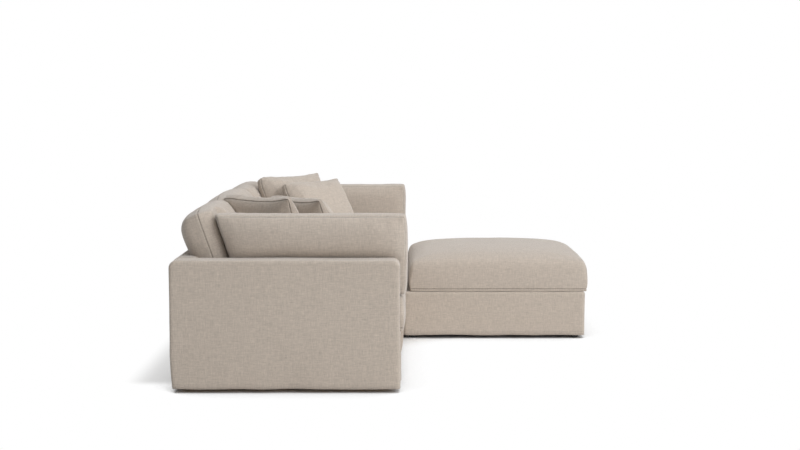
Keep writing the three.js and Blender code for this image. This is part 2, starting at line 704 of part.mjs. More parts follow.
function throwPillow({ side, middleShares, turn, lean }) {
  const geometry = stuffedGeometry({
    width: PILLOW_SIZE,
    depth: PILLOW_SIZE,
    edge: PILLOW_EDGE,
    bulge: PILLOW_BULGE,
    crownTop: PILLOW_CROWN,
    crownUnder: PILLOW_CROWN,
    cells: PILLOW_CELLS,
    waistShare: PILLOW_WAIST_SHARE,
    crownPower: PILLOW_CROWN_POWER,
    edgePower: PILLOW_EDGE_POWER,
  });
  const [inward, forward, up] = middleShares.map((share) => share * PILLOW_SIZE);
  const place = [side * (ARM_INNER_X - inward), PANEL_FRONT_Y - forward, SEAT_EDGE_TOP + up];
  return stoodUp(geometry, place, THREE.MathUtils.degToRad(lean), -side * THREE.MathUtils.degToRad(turn));
}

function ottomanCushion() {
  const front = ARM_FRONT_Y - OTTOMAN_REACH;
  const back = ARM_FRONT_Y - ARM_CUSHION_OVERHANG - OTTOMAN_CUSHION_CLEARANCE;
  const geometry = stuffedGeometry({
    width: OTTOMAN_SIZE,
    depth: back - front,
    edge: SEAT_EDGE_HEIGHT,
    bulge: SEAT_BULGE,
    crownTop: SEAT_CROWN,
    crownUnder: 0,
    cells: SEAT_CELLS,
  });
  return geometry.translate(0, (front + back) / 2, CUSHION_SEAT + SEAT_EDGE_HEIGHT / 2);
}

// Assembly

const unitFrameBounds = [UNIT_WIDTH / 2 - FRAME_INSET, ARM_FRONT_Y + FRAME_INSET, BACK_Y - FRAME_INSET];
UNIT_NAMES.forEach((name, unit) => {
  const group = new THREE.Group();
  group.position.x = (unit - 1) * UNIT_PITCH;
  addMesh(group, `${name}_frame`, unitFrame(), WOOD_LOOK);
  const springs = springSet(unitFrameBounds[0], unitFrameBounds[1], SEAT_FRAME_BACK);
  addMesh(group, `${name}_springs`, springs, STEEL_LOOK);
  const skirtBulge = name === "middle" ? MIDDLE_SKIRT_BULGE : END_SKIRT_BULGE;
  addMesh(group, `${name}_slipcover`, unitCover(skirtBulge), COVER_LOOK);
  addMesh(group, `${name}_dust_cover`, dustCover(...unitFrameBounds, true), DUST_LOOK);
  addGlides(group, name, ...unitFrameBounds);
  sofa.add(group);
});

const seatCushions = UNIT_NAMES.map((_, unit) => seatCushion(unit));
const backPanels = panelBlock(PANEL_FRONT_Y, 2 * ARM_INNER_X, 0);
const backCushions = UNIT_NAMES.map((_, unit) =>
  pressed(backCushion(unit), [backPanels, seatCushions[unit]]),
);
UNIT_NAMES.forEach((name, unit) => {
  addMesh(sofa, `${name}_seat_cushion`, seatCushions[unit], COVER_LOOK);
  addMesh(sofa, `${name}_back_cushion`, backCushions[unit], COVER_LOOK);
});

const armCushions = {};
for (const [name, side, unit] of [["left", -1, 0], ["right", 1, 2]]) {
  const arm = new THREE.Group();
  arm.position.x = side * (ARM_INNER_X + ARM_THICKNESS / 2);
  addMesh(arm, `${name}_arm_frame`, armFrame(), WOOD_LOOK);
  addMesh(arm, `${name}_arm_slipcover`, armCover(side), COVER_LOOK);
  sofa.add(arm);
  const panel = panelBlock(ARM_FRONT_Y, ARM_THICKNESS, arm.position.x);
  const behind = grown(backCushions[unit], ARM_CUSHION_CREASE);
  const neighbours = [panel, footRoom(), behind, seatCushions[unit]];
  armCushions[side] = pressed(armCushion(side), neighbours);
  addMesh(sofa, `${name}_arm_cushion`, armCushions[side], COVER_LOOK);
}

const placedPillows = [];
for (const pillow of PILLOWS) {
  const end = pillow.side < 0 ? 0 : 2;
  const neighbours = [seatCushions[end], seatCushions[1], backCushions[end], armCushions[pillow.side]];
  const form = pressed(throwPillow(pillow), [...neighbours, ...placedPillows]);
  placedPillows.push(form);
  addMesh(sofa, pillow.name, form, PILLOW_LOOK);
}

const brackets = [
  ["left_arm_bracket", -3 / 2, [1]],
  ["left_middle_bracket", -1 / 2, [-1, 1]],
  ["middle_right_bracket", 1 / 2, [-1, 1]],
  ["right_arm_bracket", 3 / 2, [-1]],
];
for (const [name, pitches, lips] of brackets) {
  addMesh(sofa, name, connectorBracket(lips), STEEL_LOOK).position.x = pitches * UNIT_PITCH;
}

const ottoman = new THREE.Group();
ottoman.position.x = OTTOMAN_X;
const ottomanBase = new THREE.Group();
ottomanBase.position.y = OTTOMAN_BACK_Y - OTTOMAN_SIZE / 2;
const ottomanHalf = OTTOMAN_SIZE / 2 - FRAME_INSET;
const ottomanBounds = [ottomanHalf, -ottomanHalf, ottomanHalf];
addMesh(ottomanBase, "ottoman_frame", geometryOf(baseRing(...ottomanBounds)), WOOD_LOOK);
addMesh(ottomanBase, "ottoman_springs", springSet(...ottomanBounds), STEEL_LOOK);
addMesh(ottomanBase, "ottoman_slipcover", ottomanCover(), COVER_LOOK);
addMesh(ottomanBase, "ottoman_dust_cover", dustCover(...ottomanBounds, false), DUST_LOOK);
addGlides(ottomanBase, "ottoman", ...ottomanBounds);
ottoman.add(ottomanBase);
addMesh(ottoman, "ottoman_cushion", ottomanCushion(), COVER_LOOK);
sofa.add(ottoman);

export default sofa;
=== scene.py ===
import math

import bmesh
import bpy
import numpy as np
from mathutils import Matrix, Vector, noise
from mathutils.bvhtree import BVHTree


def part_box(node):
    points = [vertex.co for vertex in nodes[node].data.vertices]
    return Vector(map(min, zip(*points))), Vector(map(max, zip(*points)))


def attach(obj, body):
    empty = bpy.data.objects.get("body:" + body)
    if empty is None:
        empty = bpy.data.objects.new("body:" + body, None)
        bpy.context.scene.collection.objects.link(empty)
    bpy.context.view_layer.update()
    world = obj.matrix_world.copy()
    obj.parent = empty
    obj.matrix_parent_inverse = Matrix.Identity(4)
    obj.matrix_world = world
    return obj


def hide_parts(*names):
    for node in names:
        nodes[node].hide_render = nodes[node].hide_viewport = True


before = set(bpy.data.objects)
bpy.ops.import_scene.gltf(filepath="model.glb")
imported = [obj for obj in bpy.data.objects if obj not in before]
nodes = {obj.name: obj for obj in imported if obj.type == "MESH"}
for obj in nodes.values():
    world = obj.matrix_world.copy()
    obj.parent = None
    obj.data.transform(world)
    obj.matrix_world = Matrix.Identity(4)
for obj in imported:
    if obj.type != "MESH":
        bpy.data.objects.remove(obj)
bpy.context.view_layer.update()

# The studio. A plain white floor under soft lamps, and a camera off the sofa's left arm at
# standing height. The floor is whiter to the camera than to the sofa, so it keeps a soft shadow.
scene = bpy.context.scene
scene.view_settings.view_transform = "Standard"

camera = bpy.data.objects.new("camera", bpy.data.cameras.new("camera"))
camera.data.sensor_width = 36
camera.data.lens = 65.1
camera.location = (-7.680, 0.0053, 1.334)
camera.rotation_euler = (math.radians(90 - 5.17), 0, math.radians(-90))
scene.collection.objects.link(camera)
scene.camera = camera


class Signal:
    """A shader socket. Python's operators on it add Math nodes, and node() adds any other node."""

    def __init__(self, tree, socket=None):
        self.tree = tree
        self.socket = socket

    def node(self, kind, settings=None, inputs=None, output=0):
        made = self.tree.nodes.new(kind)
        for name, value in (settings or {}).items():
            if name == "stops":
                while len(made.color_ramp.elements) < len(value):
                    made.color_ramp.elements.new(1)
                for element, (place, level) in zip(made.color_ramp.elements, value):
                    element.position = place
                    element.color = (level, level, level, 1)
            else:
                setattr(made, name, value)
        for name, value in (inputs or {}).items():
            if isinstance(value, Signal):
                self.tree.links.new(value.socket, made.inputs[name])
            else:
                made.inputs[name].default_value = value
        return Signal(self.tree, made.outputs[output] if made.outputs else None)

    def math(self, operation, *values):
        return self.node("ShaderNodeMath", {"operation": operation}, dict(enumerate(values)))

    def __add__(self, other):
        return self.math("ADD", self, other)

    def __sub__(self, other):
        return self.math("SUBTRACT", self, other)

    def __rsub__(self, other):
        return self.math("SUBTRACT", other, self)

    def __mul__(self, other):
        return self.math("MULTIPLY", self, other)

    def __truediv__(self, other):
        return self.math("DIVIDE", self, other)

    def __pow__(self, other):
        return self.math("POWER", self, other)

    __radd__ = __add__
    __rmul__ = __mul__


def shader_tree(owner):
    owner.use_nodes = True
    owner.node_tree.nodes.clear()
    return Signal(owner.node_tree)


def keep_in_scene(name, bm, material=None):
    """The bmesh as an object of its own, smooth, at the origin."""
    mesh = bpy.data.meshes.new(name)
    bm.to_mesh(mesh)
    bm.free()
    mesh.shade_smooth()
    piece = bpy.data.objects.new(name, mesh)
    scene.collection.objects.link(piece)
    if material:
        mesh.materials.append(material)
    return piece


floor_look = bpy.data.materials.new("white_floor")
start = shader_tree(floor_look)
lit = start.node("ShaderNodeBsdfDiffuse", inputs={"Color": (0.85, 0.85, 0.85, 1)})
white = start.node("ShaderNodeEmission", inputs={"Color": (1, 1, 1, 1), "Strength": 1})
place = start.node("ShaderNodeTexCoord", output="Object")


def white_rays(start):
    """1 for the rays that the camera sees by, straight or by way of metal or glass."""
    direct, glossy, through = [
        start.node("ShaderNodeLightPath", output=f"Is {kind} Ray") for kind in ("Camera", "Glossy", "Transmission")
    ]
    return start.math("MAXIMUM", start.math("MAXIMUM", direct, glossy), through)


def outside(low, high):
    """How far a place on the floor is outside a rectangle."""
    middle = tuple((a + b) / 2 for a, b in zip(low, high)) + (0,)
    half = tuple((b - a) / 2 for a, b in zip(low, high)) + (9,)
    shifted = start.node("ShaderNodeVectorMath", {"operation": "SUBTRACT"}, {0: place, 1: middle})
    mirrored = start.node("ShaderNodeVectorMath", {"operation": "ABSOLUTE"}, {0: shifted})
    past = start.node("ShaderNodeVectorMath", {"operation": "SUBTRACT"}, {0: mirrored, 1: half})
    clear = start.node("ShaderNodeVectorMath", {"operation": "MAXIMUM"}, {0: past, 1: (0, 0, 0)})
    return start.node("ShaderNodeVectorMath", {"operation": "LENGTH"}, {0: clear}, output="Value")


def ramp(value, low, high, least):
    return start.node("ShaderNodeMapRange", {"interpolation_type": "SMOOTHSTEP"}, {
        "Value": value, "From Min": low, "From Max": high, "To Min": least, "To Max": 1,
    })


clear_of_pieces = start.node("ShaderNodeAmbientOcclusion", {"samples": 8}, {"Distance": 0.3}, output="AO")
behind_sofa = outside((-1.0, 0.3), (1.3, 1.16))
open_floor = ramp(clear_of_pieces, 0.4, 0.62, 0) * ramp(behind_sofa, 0, 0.14, 0.55)
blended = start.node("ShaderNodeMixShader", inputs={0: white_rays(start) * open_floor, 1: lit, 2: white})
start.node("ShaderNodeOutputMaterial", inputs={"Surface": blended})
bm = bmesh.new()
bmesh.ops.create_grid(bm, x_segments=1, y_segments=1, size=40)
floor = keep_in_scene("floor", bm, floor_look)

scene.world = scene.world or bpy.data.worlds.new("studio")
start = shader_tree(scene.world)
dim = start.node("ShaderNodeBackground", inputs={"Color": (1, 1, 1, 1), "Strength": 0.28})
bright = start.node("ShaderNodeBackground", inputs={"Color": (1, 1, 1, 1), "Strength": 1})
blended = start.node("ShaderNodeMixShader", inputs={0: white_rays(start), 1: dim, 2: bright})
start.node("ShaderNodeOutputWorld", inputs={"Surface": blended})

for name, place, size, power in (
    ("lamp_front", (-9.0, -10.5, 6.6), 7.0, 960),
    ("lamp_above", (0.3, -1.0, 6.0), 5.0, 180),
    ("lamp_side", (-9.5, -4.5, 3.9), 5.0, 215),
):
    lamp = bpy.data.objects.new(name, bpy.data.lights.new(name, "AREA"))
    lamp.data.size = size
    lamp.data.energy = power
    lamp.location = place
    lamp.rotation_euler = (Vector((0, 0, 0.4)) - Vector(place)).to_track_quat("-Z", "Y").to_euler()
    scene.collection.objects.link(lamp)

# Glides. Black moulded feet, pressed into the corners of each wooden frame. A slight orange-peel
# skin from the mould.
glide_look = bpy.data.materials.new("glide_plastic")
start = shader_tree(glide_look)
place = start.node("ShaderNodeTexCoord", output="Object")
skin = start.node("ShaderNodeTexNoise", inputs={"Vector": place, "Scale": 900, "Detail": 2})
wear = start.node("ShaderNodeTexNoise", inputs={"Vector": place, "Scale": 60, "Detail": 4})
relief = start.node("ShaderNodeBump", inputs={"Height": skin, "Strength": 0.3, "Distance": 0.0003})
surface = start.node("ShaderNodeBsdfPrincipled", inputs={
    "Base Color": (0.02, 0.02, 0.02, 1), "Roughness": 0.35 + wear * 0.25, "Normal": relief,
})
start.node("ShaderNodeOutputMaterial", inputs={"Surface": surface})


def finish_node(name, material):
    nodes[name].data.materials.clear()
    nodes[name].data.materials.append(material)


for name in nodes:
    if "_glide_" in name:
        finish_node(name, glide_look)

# Frames. Planed hardwood rails, posts and corner blocks, glued and screwed, left unfinished inside
# the covers. The grain runs along the sofa in the rails.
wood_look = bpy.data.materials.new("frame_hardwood")
start = shader_tree(wood_look)
place = start.node("ShaderNodeTexCoord", output="Object")
along = start.node("ShaderNodeMapping", inputs={"Vector": place, "Scale": (2.2, 9, 9)})
bent = start.node("ShaderNodeTexNoise", inputs={"Vector": along, "Scale": 2.5, "Detail": 5})
rings = (bent * 46).math("SINE", bent * 46) * 0.5 + 0.5
fine = start.node("ShaderNodeMapping", inputs={"Vector": place, "Scale": (12, 320, 320)})
pores = start.node("ShaderNodeTexNoise", inputs={"Vector": fine, "Scale": 1, "Detail": 3})
shade = start.node("ShaderNodeMix", {"data_type": "RGBA"}, {
    0: rings * 0.55 + pores * 0.4, 6: (0.42, 0.26, 0.13, 1), 7: (0.66, 0.47, 0.28, 1),
}, output=2)
relief = start.node("ShaderNodeBump", inputs={"Height": pores, "Strength": 0.4, "Distance": 0.0004})
surface = start.node("ShaderNodeBsdfPrincipled", inputs={
    "Base Color": shade, "Roughness": 0.55 + pores * 0.25, "Normal": relief,
})
start.node("ShaderNodeOutputMaterial", inputs={"Surface": surface})
for name in nodes:
    if name.endswith("_frame"):
        finish_node(name, wood_look)

# Springs and brackets. Zigzag springs of oiled wire on the seat rails, and zinc-plated strips that
# hook neighbouring frames together underneath.
steel_looks = {}
for name, tint, shine in (("spring_wire", (0.36, 0.36, 0.37, 1), 0.3), ("zinc_plate", (0.62, 0.63, 0.64, 1), 0.28)):
    steel_looks[name] = bpy.data.materials.new(name)
    start = shader_tree(steel_looks[name])
    place = start.node("ShaderNodeTexCoord", output="Object")
    flecks = start.node("ShaderNodeTexVoronoi", inputs={"Vector": place, "Scale": 160})
    smears = start.node("ShaderNodeTexNoise", inputs={"Vector": place, "Scale": 35, "Detail": 5})
    dark = tuple(0.7 * part for part in tint[:3]) + (1,)
    colour = start.node("ShaderNodeMix", {"data_type": "RGBA"}, {0: smears, 6: dark, 7: tint}, output=2)
    relief = start.node("ShaderNodeBump", inputs={"Height": flecks, "Strength": 0.15, "Distance": 0.0002})
    surface = start.node("ShaderNodeBsdfPrincipled", inputs={
        "Base Color": colour, "Metallic": 1, "Roughness": shine + smears * 0.25, "Normal": relief,
    })
    start.node("ShaderNodeOutputMaterial", inputs={"Surface": surface})
for name in nodes:
    if name.endswith("_springs"):
        finish_node(name, steel_looks["spring_wire"])
    if name.endswith("_bracket"):
        finish_node(name, steel_looks["zinc_plate"])

# Dust covers. Thin black felted cloth, stretched under each frame and folded in at the corners
# beside the glides. It sags a little between its edges.
dust_look = bpy.data.materials.new("dust_cloth")
start = shader_tree(dust_look)
place = start.node("ShaderNodeTexCoord", output="Object")
fibres = start.node("ShaderNodeTexNoise", inputs={"Vector": place, "Scale": 700, "Detail": 3, "Distortion": 2})
dents = start.node("ShaderNodeTexVoronoi", inputs={"Vector": place, "Scale": 420})
colour = start.node("ShaderNodeMix", {"data_type": "RGBA"}, {
    0: fibres, 6: (0.014, 0.014, 0.016, 1), 7: (0.045, 0.045, 0.05, 1),
}, output=2)
relief = start.node("ShaderNodeBump", inputs={"Height": dents + fibres, "Strength": 0.4, "Distance": 0.0004})
surface = start.node("ShaderNodeBsdfPrincipled", inputs={
    "Base Color": colour, "Roughness": 0.9, "Normal": relief,
})
start.node("ShaderNodeOutputMaterial", inputs={"Surface": surface})

DUST_CORNER = 0.095
BODY_OF = {"ottoman": "ottoman"}


def cut_grid(bm, step, low, high):
    """Cuts the whole bmesh along planes a step apart in each direction."""
    for axis in range(3):
        count = int((high[axis] - low[axis]) / step[axis])
        across = Vector((axis == 0, axis == 1, axis == 2))
        for k in range(1, count + 1):
            at = across * (low[axis] + (high[axis] - low[axis]) * k / (count + 1))
            everything = bm.verts[:] + bm.edges[:] + bm.faces[:]
            bmesh.ops.bisect_plane(bm, geom=everything, dist=1e-5, plane_co=at, plane_no=across)


for unit in ("left", "middle", "right", "ottoman"):
    low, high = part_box(f"{unit}_dust_cover")
    bm = bmesh.new()
    half = (high - low) / 2
    bmesh.ops.create_grid(bm, x_segments=30, y_segments=30, size=1,
                          matrix=Matrix.Diagonal((half.x, half.y, 1, 1)))
    for side in (-1, 1):
        for end in (-1, 1):
            corner = Vector((side * (half.x - DUST_CORNER / 2), end * (half.y - DUST_CORNER / 2), 0))
            bmesh.ops.bisect_plane(bm, geom=bm.verts[:] + bm.edges[:] + bm.faces[:], plane_co=corner,
                                   plane_no=Vector((side, end, 0)), clear_outer=True)
    area = sum(face.calc_area() for face in bm.faces)
    middle = (low + high) / 2
    for vert in bm.verts:
        sag = (1 - (vert.co.x / half.x) ** 2) * (1 - (vert.co.y / half.y) ** 2)
        ripple = noise.noise(vert.co * 7 + middle)
        vert.co += Vector((middle.x, middle.y, high.z - 0.0007 - 0.004 * sag - 0.001 * sag * ripple))
    cloth = keep_in_scene(f"{unit}_dust_cloth", bm, dust_look)
    thickness = cloth.modifiers.new("thickness", "SOLIDIFY")
    thickness.thickness = 0.0006
    thickness.offset = 0
    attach(cloth, BODY_OF.get(unit, "sofa"))
    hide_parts(f"{unit}_dust_cover")

# Slipcovers. Heavy slub linen over thin wadding, sewn to fit each frame and left hanging to a
# turned-up hem just above the floor. The weave follows each panel of the cloth.
COVER_CLOTH = 0.004
HEM_DEPTH = 0.024
THREAD_PITCH = 0.0021


def linen(name, tint):
    """Slub linen. It reads the map 'cloth', in metres of cloth, and the map 'sewing', whose U runs
    along the nearest seam and whose V is the distance from it. Shade is painted into the colour
    right beside each seam."""
    look = bpy.data.materials.new(name)
    start = shader_tree(look)
    cloth = start.node("ShaderNodeUVMap", {"uv_map": "cloth"})
    parts = [start.node("ShaderNodeSeparateXYZ", inputs={0: cloth}, output=axis) for axis in (0, 1)]

    def slub(scale, detail):
        spread = start.node("ShaderNodeMapping", inputs={"Vector": cloth, "Scale": scale})
        return start.node("ShaderNodeTexNoise", {"noise_dimensions": "2D"}, {
            "Vector": spread, "Scale": 1, "Detail": detail, "Roughness": 0.6,
        })

    weft, warp = slub((40, 330, 1), 1), slub((330, 40, 1), 1)
    thick = slub((14, 150, 1), 1) + slub((150, 14, 1), 1)
    patches = start.node("ShaderNodeTexNoise", {"noise_dimensions": "2D"}, {
        "Vector": cloth, "Scale": 5, "Detail": 3,
    })
    waves = [(part * (2 * math.pi / THREAD_PITCH)).math("SINE", part * (2 * math.pi / THREAD_PITCH))
             for part in parts]
    threads = waves[0] * waves[1]
    sewing = start.node("ShaderNodeUVMap", {"uv_map": "sewing"})
    run, off = [start.node("ShaderNodeSeparateXYZ", inputs={0: sewing}, output=axis) for axis in (0, 1)]
    # Painted shade: the colour is darkened for 4 mm beside each seam, standing in for the shade in the seam's groove.
    crease = off.node("ShaderNodeMapRange", {"interpolation_type": "SMOOTHSTEP"}, {
        "Value": off, "From Min": 0.0, "From Max": 0.004, "To Min": 1, "To Max": 0,
    })
    stitch_line = (1 - ((off - 0.0085).math("ABSOLUTE", off - 0.0085) / 0.0007)).math(
        "MAXIMUM", 1 - ((off - 0.0085).math("ABSOLUTE", off - 0.0085) / 0.0007), 0)
    dash = (run * (2 * math.pi / 0.0052)).math("SINE", run * (2 * math.pi / 0.0052))
    stitch = stitch_line * dash.math("GREATER_THAN", dash, -0.45)
    streaks = (weft + warp - 1) * 0.3 + (thick - 1) * 0.18 + (patches - 0.5) * 0.02
    level = (1 + streaks + threads * 0.035 - crease * 0.4 + stitch * 0.08)
    dark = tuple(0.5 * part for part in tint) + (1,)
    bright = tuple(1.5 * part for part in tint) + (1,)
    colour = start.node("ShaderNodeMix", {"data_type": "RGBA"}, {
        0: level - 0.5, 6: dark, 7: bright,
    }, output=2)
    height = threads * 0.35 + (weft + warp) * 0.9 + stitch * 0.8
    relief = start.node("ShaderNodeBump", inputs={"Height": height, "Strength": 0.35, "Distance": 0.0009})
    surface = start.node("ShaderNodeBsdfPrincipled", inputs={
        "Base Color": colour, "Roughness": 0.86 + streaks * 0.2, "Sheen Weight": 0.4,
        "Sheen Roughness": 0.5, "Specular IOR Level": 0.25, "Normal": relief,
    })
    start.node("ShaderNodeOutputMaterial", inputs={"Surface": surface})
    return look


cover_look = linen("slipcover_linen", (0.495, 0.429, 0.366))


def edges_where(bm, test):
    """The edges whose two ends both pass the test."""
    return [edge for edge in bm.edges if all(test(vert.co) for vert in edge.verts)]


def rounded(bm, edges, radius, segments):
    bmesh.ops.bevel(bm, geom=edges, offset=radius, segments=segments, profile=0.5,
                    affect="EDGES", material=-1, clamp_overlap=True)


def near(value, target):
    return abs(value - target) < 1e-5


def lay_cloth(bm, hem):
    """Maps the cloth on each panel in metres, and the sewing along the hem."""
    cloth = bm.loops.layers.uv.new("cloth")
    sewing = bm.loops.layers.uv.new("sewing")
    bm.normal_update()
    for face in bm.faces:
        facing = max(range(3), key=lambda axis: abs(face.normal[axis]))
        across, up = [(1, 2), (0, 2), (0, 1)][facing]
        for loop in face.loops:
            co = loop.vert.co
            loop[cloth].uv = (co[across], co[up])
            loop[sewing].uv = (co[across], abs(co.z - hem - HEM_DEPTH) if facing < 2 else 0.3)


def hanging(bm, low, high, free, skirt=None, tuck=0.0):
    """Lets the cloth hang: soft dents in the panels, waves that grow towards the hem. A side that
    is not in free stays flat, because a neighbour stands against it."""
    bm.normal_update()
    moves = []
    for vert in bm.verts:
        co, out = vert.co, vert.normal.copy()
        for axis in (0, 1):
            for side, edge in ((-1, low[axis]), (1, high[axis])):
                if (axis, side) not in free and out[axis] * side > 0:
                    out[axis] = 0
        fall = max(0.0, 1 - (co.z - low.z) / 0.2) ** 2
        dent = noise.noise(co * 4.1) * 0.0022 + noise.noise(co * 11) * 0.0007
        run = Vector((co.x * 7.5, co.y * 7.5, 3.3))
        wave = (noise.noise(run) * 0.006 + noise.noise(run * 2.4) * 0.0025) * fall
        lift = 0.0028 + noise.noise(run * 0.8 + Vector((9, 4, 1))) * 0.0035
        lift *= max(0.0, 1 - (co.z - low.z) / 0.09)
        tucked = max(0.0, 1 - (co.z - low.z) / 0.16) ** 1.5 * max(0.0, 1 - (high.y - co.y) / 0.12)
        moves.append(out * (dent + wave) + Vector((0, -tuck * tucked, lift)))
    for vert, move in zip(bm.verts, moves):
        vert.co += move
        if skirt and vert.co.y < skirt["front"] + 0.05 and vert.co.z < skirt["top"]:
            level = (vert.co.z - low.z) / (skirt["top"] - low.z)
            vert.co.y -= skirt["bulge"] * math.sin(math.pi * min(1, max(0, level)) ** 0.8)
            vert.co.y += skirt["tuck"] * (1 - min(1, max(0, level)))


def cover_piece(name, bm, body, node):
    bmesh.ops.recalc_face_normals(bm, faces=bm.faces)
    piece = keep_in_scene(name, bm, cover_look)
    wall = piece.modifiers.new("cloth", "SOLIDIFY")
    wall.thickness = COVER_CLOTH
    wall.offset = -1
    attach(piece, body)
    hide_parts(node)
    return piece


deck_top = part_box("left_seat_cushion")[0].z - 0.0005
panel_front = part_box("left_seat_cushion")[1].y + 0.0005

for unit in ("left", "middle", "right"):
    low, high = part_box(f"{unit}_slipcover")
    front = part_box("left_arm_slipcover")[0].y
    bm = bmesh.new()
    seat_front = front - (0.004 if unit != "middle" else 0.016)
    size = Vector((high.x - low.x, high.y - seat_front, deck_top - low.z))
    centre = Vector(((low.x + high.x) / 2, (seat_front + high.y) / 2, (low.z + deck_top) / 2))
    bmesh.ops.create_cube(bm, size=1, matrix=Matrix.Translation(centre) @ Matrix.Diagonal((*size, 1)))
    bmesh.ops.bisect_plane(bm, geom=bm.verts[:] + bm.edges[:] + bm.faces[:], dist=1e-5,
                           plane_co=(0, panel_front, 0), plane_no=(0, 1, 0))
    rear = [face for face in bm.faces if face.normal.z > 0.9 and face.calc_center_median().y > panel_front]
    grown = bmesh.ops.extrude_face_region(bm, geom=rear)["geom"]
    bmesh.ops.delete(bm, geom=rear, context="FACES")
    bmesh.ops.translate(bm, vec=(0, 0, high.z - deck_top),
                        verts=[part for part in grown if isinstance(part, bmesh.types.BMVert)])
    bmesh.ops.delete(bm, geom=[f for f in bm.faces if f.normal.z < -0.9], context="FACES")
    top = edges_where(bm, lambda co: near(co.z, high.z))
    rounded(bm, [e for e in top if near(e.verts[0].co.y, e.verts[1].co.y)], 0.03, 5)
    rounded(bm, edges_where(bm, lambda co: near(co.z, deck_top) and near(co.y, seat_front)), 0.012, 3)
    rim = edges_where(bm, lambda co: near(co.x, low.x) or near(co.x, high.x))
    rounded(bm, [e for e in rim if len(e.link_faces) == 2 and e.calc_face_angle() > 0.3], 0.006, 2)
    cut_grid(bm, (0.03, 0.03, 0.022), low, high)
    bm.normal_update()
    lay_cloth(bm, low.z)
    skirt = {"front": seat_front, "top": deck_top - 0.01, "bulge": 0.007, "tuck": 0.010} if unit == "middle" else None
    hanging(bm, low, high, {(1, -1), (1, 1)}, skirt)
    cover_piece(f"{unit}_cover", bm, "sofa", f"{unit}_slipcover")

for hand, side in (("left", -1), ("right", 1)):
    low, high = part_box(f"{hand}_arm_slipcover")
    bm = bmesh.new()
    centre, size = (low + high) / 2, high - low
    bmesh.ops.create_cube(bm, size=1, matrix=Matrix.Translation(centre) @ Matrix.Diagonal((*size, 1)))
    bmesh.ops.delete(bm, geom=[f for f in bm.faces if f.normal.z < -0.9], context="FACES")
    top = edges_where(bm, lambda co: near(co.z, high.z))
    rounded(bm, [e for e in top if near(e.verts[0].co.y, e.verts[1].co.y)], 0.034, 6)
    for face_x, radius in ((low.x, 0.013 if side < 0 else 0.007), (high.x, 0.007 if side < 0 else 0.013)):
        rim = edges_where(bm, lambda co: near(co.x, face_x))
        rounded(bm, [e for e in rim if len(e.link_faces) == 2 and e.calc_face_angle() > 0.3], radius, 3)
    cut_grid(bm, (0.03, 0.028, 0.022), low, high)
    bm.normal_update()
    lay_cloth(bm, low.z)
    hanging(bm, low, high, {(0, side), (1, -1), (1, 1)}, tuck=0.011)
    cover_piece(f"{hand}_arm_cover", bm, "sofa", f"{hand}_arm_slipcover")

low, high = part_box("ottoman_slipcover")
bm = bmesh.new()
centre, size = (low + high) / 2, high - low
bmesh.ops.create_cube(bm, size=1, matrix=Matrix.Translation(centre) @ Matrix.Diagonal((*size, 1)))
bmesh.ops.delete(bm, geom=[f for f in bm.faces if f.normal.z < -0.9], context="FACES")
upright = [e for e in bm.edges if near(e.verts[0].co.x, e.verts[1].co.x) and near(e.verts[0].co.y, e.verts[1].co.y)]
rounded(bm, upright, 0.018, 4)
top = edges_where(bm, lambda co: near(co.z, high.z))
rounded(bm, [e for e in top if len(e.link_faces) == 2 and e.calc_face_angle() > 0.3], 0.012, 3)
cut_grid(bm, (0.028, 0.028, 0.022), low, high)
bm.normal_update()
lay_cloth(bm, low.z)
hanging(bm, low, high, {(0, -1), (0, 1), (1, -1)})
cover_piece("ottoman_cover", bm, "ottoman", "ottoman_slipcover")

# Seat cushions. Three loose slabs of foam in a feather wrap, in linen cases whose tops roll over
# into the sides. One seam runs round each case just above its bottom edge.
SEAM_GROOVE = 0.0032
SEAM_DEPTH = 0.0042
cushion_look = linen("cushion_linen", (0.495, 0.430, 0.369))


